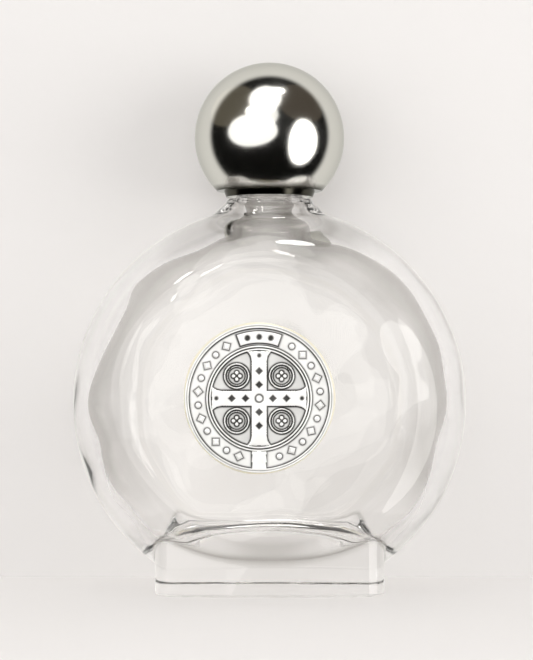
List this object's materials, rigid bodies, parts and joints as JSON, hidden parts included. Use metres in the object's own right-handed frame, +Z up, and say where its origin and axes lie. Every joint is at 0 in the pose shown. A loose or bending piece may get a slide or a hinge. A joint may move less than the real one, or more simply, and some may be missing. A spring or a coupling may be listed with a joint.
{
  "type": "holy water bottle",
  "caption": "Flat round clear glass bottle on a block foot, with a screw-on chrome ball cap and a round silver medal glued to the front.",
  "frame": {"origin": "on the table, under the neck axis and the middle of the foot", "axes": "+Z up the neck axis, front with the medal towards -Y, +X to the right seen from the front"},
  "size_m": [0.0588, 0.0257, 0.0785],
  "materials": {
    "clear_glass": "clear moulded glass",
    "chrome_plating": "bright plated",
    "insert_plastic": "moulded, slightly milky",
    "liner_foam": "fine closed-cell foam",
    "antique_silver": "struck, darkened in the recesses",
    "cured_glue": "cream, set hard"
  },
  "bodies": {
    "bottle": {"glass_bottle": "clear_glass", "medal": "antique_silver", "medal_adhesive": "cured_glue"},
    "cap_seal": {"cap_liner": "liner_foam"},
    "cap": {"cap_shell": "chrome_plating", "cap_insert": "insert_plastic"}
  },
  "joints": [
    {"name": "cap_lift", "type": "slide", "parent": "bottle", "child": "cap_seal", "axis": [0, 0, 1], "range_m": [0, 0.01501]},
    {"name": "cap_turn", "type": "hinge", "parent": "cap_seal", "child": "cap", "pos_m": [0, 0, 0.0673], "axis": [0, 0, 1], "range_deg": [0, 2160]}
  ],
  "couplings": [
    {"joint": "cap_lift", "follows": "cap_turn", "m_per_rad": 0.00039789}
  ]
}
